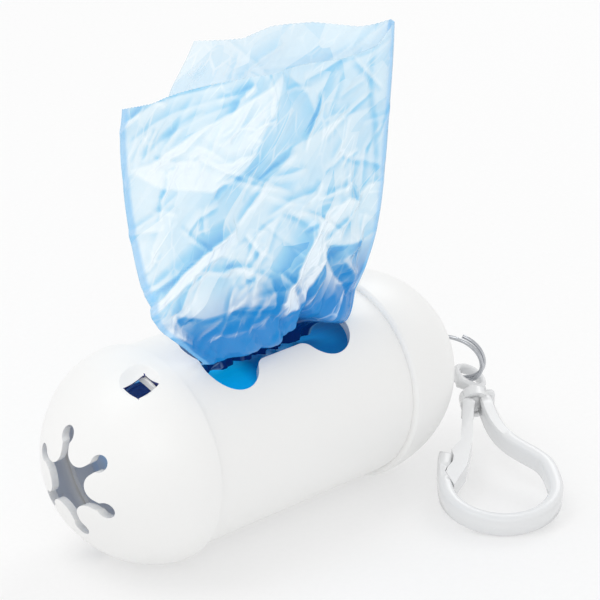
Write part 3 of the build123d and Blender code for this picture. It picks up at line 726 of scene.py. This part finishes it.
# the film gives off a little light in its own colour: a painted glow for the light that comes through it
film.drive("Emission Color", film_colour)
film.drive("Roughness", 0.12 + 0.16 * crinkle)
film.drive("Coat Weight", 0.7 * (1.0 - deep) + 0.3 * glint)
free_rear = film.ranged(across, 1.25, 1.95)
film.drive("Alpha", 0.58 + 0.40 * deep + 0.14 * glint + 0.2 * hem - 0.26 * free_rear)
film.bump(0.5 * crinkle + 2.0 * facets(1.0) + 0.8 * facets(2.7), 0.5, 0.0005)
pulled_bag.data.materials.clear()
pulled_bag.data.materials.append(film.material)
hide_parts("pulled_bag")
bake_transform(pulled_bag)

# ---- split ring ---------------------------------------------------------------------------
# One and three quarter turns of hard steel wire with a bright plated skin, drawn round and wound
# so that its ends overlap.  It is threaded through the rear cap's eyelet and carries the swivel.

steel = Finish("bright plated wire", Metallic=1.0)
drawn = steel.noise(1400.0, 3.0)
steel.drive("Base Color", steel.mixed(srgb(206, 208, 212), srgb(176, 179, 184), drawn))
steel.drive("Roughness", 0.16 + 0.12 * drawn)
steel.bump(drawn, 0.15, 0.00003)

# the ring's middle, the axis that it is wound about, and the eyelet's axis, which lies in its plane
ring_middle = np.array((52.5269, -4.2468, 16.4742))
ring_normal = np.array((0.8788, 0.3671, 0.3048))
eyelet_axis = np.array((0.0, -0.6388, 0.7694))
ring_out = np.cross(ring_normal, eyelet_axis)
ring_radius = 5.4
ring_pitch = 1.25
wire_diameter = 0.8
wire_sides = 24
# degrees about the ring: where the wire starts and ends and how far apart its points are, then
# where it climbs to the next layer and over what length
wire_start, wire_end, point_step = 200.0, 830.0, 5.0
climb_start, climb_length = 470.0, 90.0
wire_turn = np.arange(wire_start, wire_end + 0.1, point_step)
climb = np.clip((wire_turn - climb_start) / climb_length, 0, 1)
wire_layers = 2 * climb * climb * (3 - 2 * climb) - 1
wire_angles = np.radians(wire_turn)[:, None]
loop = ring_radius * (np.cos(wire_angles) * ring_out + np.sin(wire_angles) * eyelet_axis)
wire_line = (ring_middle + loop + (wire_layers * ring_pitch / 2)[:, None] * ring_normal) * mm
wire_mesh = bpy.data.meshes.new("split_ring_wire")
wire_mesh.from_pydata(wire_line.tolist(), [(k, k + 1) for k in range(len(wire_line) - 1)], [])
split_ring = put("split_ring_wire", wire_mesh)


def drawn_wire_tree(material):
    """Sweep a round wire along the line of edges that it is given."""
    tree = bpy.data.node_groups.new("drawn wire", "GeometryNodeTree")
    tree.interface.new_socket("Line", in_out="INPUT", socket_type="NodeSocketGeometry")
    size = tree.interface.new_socket("Wire Diameter", in_out="INPUT", socket_type="NodeSocketFloat")
    sides = tree.interface.new_socket("Sides", in_out="INPUT", socket_type="NodeSocketInt")
    tree.interface.new_socket("Wire", in_out="OUTPUT", socket_type="NodeSocketGeometry")
    given = tree.nodes.new("NodeGroupInput")
    result = tree.nodes.new("NodeGroupOutput")
    line = tree.nodes.new("GeometryNodeMeshToCurve")
    half = tree.nodes.new("ShaderNodeMath")
    half.operation = "MULTIPLY"
    half.inputs[1].default_value = 0.5
    round_section = tree.nodes.new("GeometryNodeCurvePrimitiveCircle")
    sweep = tree.nodes.new("GeometryNodeCurveToMesh")
    sweep.inputs["Fill Caps"].default_value = True
    smooth = tree.nodes.new("GeometryNodeSetShadeSmooth")
    realize = tree.nodes.new("GeometryNodeRealizeInstances")
    dress = tree.nodes.new("GeometryNodeSetMaterial")
    dress.inputs["Material"].default_value = material
    links = ((given.outputs["Line"], line.inputs["Mesh"]),
             (given.outputs["Wire Diameter"], half.inputs[0]),
             (half.outputs[0], round_section.inputs["Radius"]),
             (given.outputs["Sides"], round_section.inputs["Resolution"]),
             (line.outputs["Curve"], sweep.inputs["Curve"]),
             (round_section.outputs["Curve"], sweep.inputs["Profile Curve"]),
             (sweep.outputs["Mesh"], smooth.inputs["Geometry"]),
             (smooth.outputs["Geometry"], realize.inputs["Geometry"]),
             (realize.outputs["Geometry"], dress.inputs["Geometry"]),
             (dress.outputs["Geometry"], result.inputs["Wire"]))
    for start, end in links:
        tree.links.new(start, end)
    return tree, size.identifier, sides.identifier


wire_tree, diameter_socket, sides_socket = drawn_wire_tree(steel.material)
winding = split_ring.modifiers.new("drawn wire", "NODES")
winding.node_group = wire_tree
winding[diameter_socket] = wire_diameter * mm
winding[sides_socket] = wire_sides
settle(split_ring)
split_ring.data.set_sharp_from_angle(angle=math.radians(50))
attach(split_ring, "ring")
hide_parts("split_ring")

# ---- swivel clip --------------------------------------------------------------------------
# A one piece hook moulded in glossy white acetal, whose thin gate springs at its root, and a
# separate eye whose headed stem turns in the hook's barrel.

clip_white = moulded_white("glossy white acetal", srgb(231, 232, 233), 0.2, 0.12)
for node in ("swivel_eye", "clip_hook", "clip_gate"):
    smooth_copy(node, clip_white, 30.0)

# ---- floor, light and camera ----------------------------------------------------------------
# Even studio light, and a long lens at the photograph's angle.  The flat, pale, matt floor gives
# off some light of its own, so that the shadows stay pale.

reach = 3.0
floor_corners = [(-reach, -reach, 0), (reach, -reach, 0), (reach, reach, 0), (-reach, reach, 0)]
floor_mesh = bpy.data.meshes.new("floor")
floor_mesh.from_pydata(floor_corners, [], [(0, 1, 2, 3)])
floor = put("floor", floor_mesh)
paper = Finish("matt studio paper", Roughness=0.9, Emission_Color=(1, 1, 1, 1), Emission_Strength=0.41)
tooth = paper.noise(900.0, 2.0)
paper.drive("Base Color", paper.mixed(srgb(190, 190, 190), srgb(186, 186, 186), tooth))
floor.data.materials.append(paper.material)

# the white all round lights the pieces at one strength and is seen at another
light_strength, seen_strength = 0.84, 0.96
world = bpy.data.worlds.new("studio")
bpy.context.scene.world = world
world.use_nodes = True
sky = world.node_tree
background = sky.nodes["Background"]
background.inputs["Color"].default_value = (1, 1, 1, 1)
background.inputs["Strength"].default_value = light_strength
seen = sky.nodes.new("ShaderNodeBackground")
seen.inputs["Color"].default_value = (1, 1, 1, 1)
seen.inputs["Strength"].default_value = seen_strength
path = sky.nodes.new("ShaderNodeLightPath")
either = sky.nodes.new("ShaderNodeMath")
either.operation = "MAXIMUM"
sky.links.new(path.outputs["Is Camera Ray"], either.inputs[0])
sky.links.new(path.outputs["Is Transmission Ray"], either.inputs[1])
choice = sky.nodes.new("ShaderNodeMixShader")
sky.links.new(either.outputs[0], choice.inputs[0])
sky.links.new(background.outputs[0], choice.inputs[1])
sky.links.new(seen.outputs[0], choice.inputs[2])
sky.links.new(choice.outputs[0], sky.nodes["World Output"].inputs["Surface"])

lit_middle = Vector((0.005, -0.01, 0.035))


def softbox(name, azimuth, elevation, distance, size, watts):
    """A square lamp that faces the object from a compass angle and a height angle."""
    a, e = math.radians(azimuth), math.radians(elevation)
    away = Vector((math.cos(a) * math.cos(e), math.sin(a) * math.cos(e), math.sin(e)))
    lamp = bpy.data.lights.new(name, "AREA")
    lamp.shape = "SQUARE"
    lamp.size = size
    lamp.energy = watts
    holder = put(name, lamp)
    holder.location = lit_middle + distance * away
    holder.rotation_euler = (lit_middle - holder.location).to_track_quat("-Z", "Y").to_euler()


softbox("key", 150.0, 62.0, 0.9, 0.55, 1.5)
softbox("fill", 225.0, 30.0, 1.1, 0.6, 1.1)
softbox("rim", 20.0, 40.0, 0.9, 0.35, 0.9)

camera_azimuth = math.radians(-44.739)
camera_elevation = math.radians(21.931)
camera_distance = 0.517071
focal_pixels, photo_pixels = 2838.365, 600
aim_right, aim_up = 0.010005, 0.020583
sight = Vector((-math.sin(camera_azimuth) * math.cos(camera_elevation),
                math.cos(camera_azimuth) * math.cos(camera_elevation), -math.sin(camera_elevation)))
rightward = Vector((math.cos(camera_azimuth), math.sin(camera_azimuth), 0))
upward = rightward.cross(sight)
lens = bpy.data.cameras.new("camera")
lens.sensor_width = 36.0
lens.lens = focal_pixels / photo_pixels * lens.sensor_width
lens.clip_start = 0.01
axis_middle = Vector((0, 0, axis_height * mm))
camera_place = axis_middle + rightward * aim_right + upward * aim_up - sight * camera_distance
camera_turn = Matrix((rightward, upward, -sight)).transposed().to_4x4()
camera = put("camera", lens)
camera.matrix_world = Matrix.Translation(camera_place) @ camera_turn
bpy.context.scene.camera = camera
bpy.context.scene.view_settings.view_transform = "Standard"
